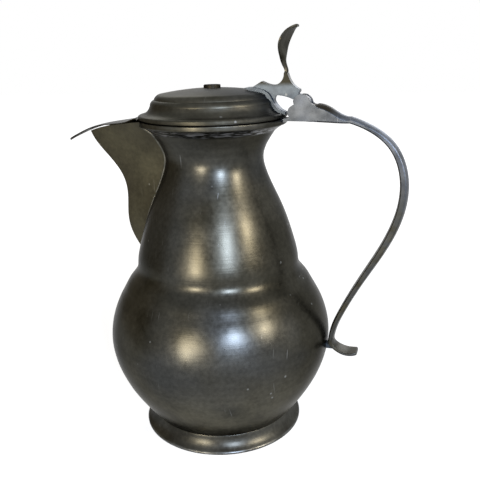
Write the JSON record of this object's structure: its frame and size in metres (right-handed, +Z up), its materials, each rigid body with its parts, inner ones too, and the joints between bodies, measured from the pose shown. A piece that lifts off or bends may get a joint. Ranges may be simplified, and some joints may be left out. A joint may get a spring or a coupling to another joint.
{
  "type": "lidded pitcher",
  "caption": "Turned metal pitcher with a bulging bowl, a waisted neck, a folded pointed spout, a strap handle and a hinged domed lid with a thumbpiece.",
  "frame": {"origin": "where the turning axis of the body meets the surface that the foot stands on", "axes": "+Z up along the turning axis, +X from the axis towards the handle, -X towards the spout, the handle's plane is y = 0"},
  "size_m": [0.2049, 0.1348, 0.2388],
  "materials": {
    "dark_pewter": "dark pewter worn to a soft satin, grey with an olive cast",
    "sheet_pewter": "browner, flatter pewter sheet",
    "cast_fittings": "paler grey pewter casting, rubbed bright on top",
    "hinge_pin": "filed flush with the cheeks, as grey as they are"
  },
  "bodies": {
    "jug_body": {"foot_ring": "dark_pewter", "base_disc": "dark_pewter", "bowl": "dark_pewter", "neck": "dark_pewter", "rim_band": "dark_pewter", "spout": "sheet_pewter", "handle": "cast_fittings", "handle_lug": "cast_fittings", "hinge_pin": "hinge_pin"},
    "lid_assembly": {"lid": "dark_pewter", "lid_button": "dark_pewter", "spout_cover": "dark_pewter", "lid_bracket": "cast_fittings", "thumbpiece": "dark_pewter"}
  },
  "joints": [
    {"name": "lid_hinge", "type": "hinge", "parent": "jug_body", "child": "lid_assembly", "pos_m": [0.0525, 0, 0.198], "axis": [0, 1, 0], "range_deg": [0, 100]}
  ]
}
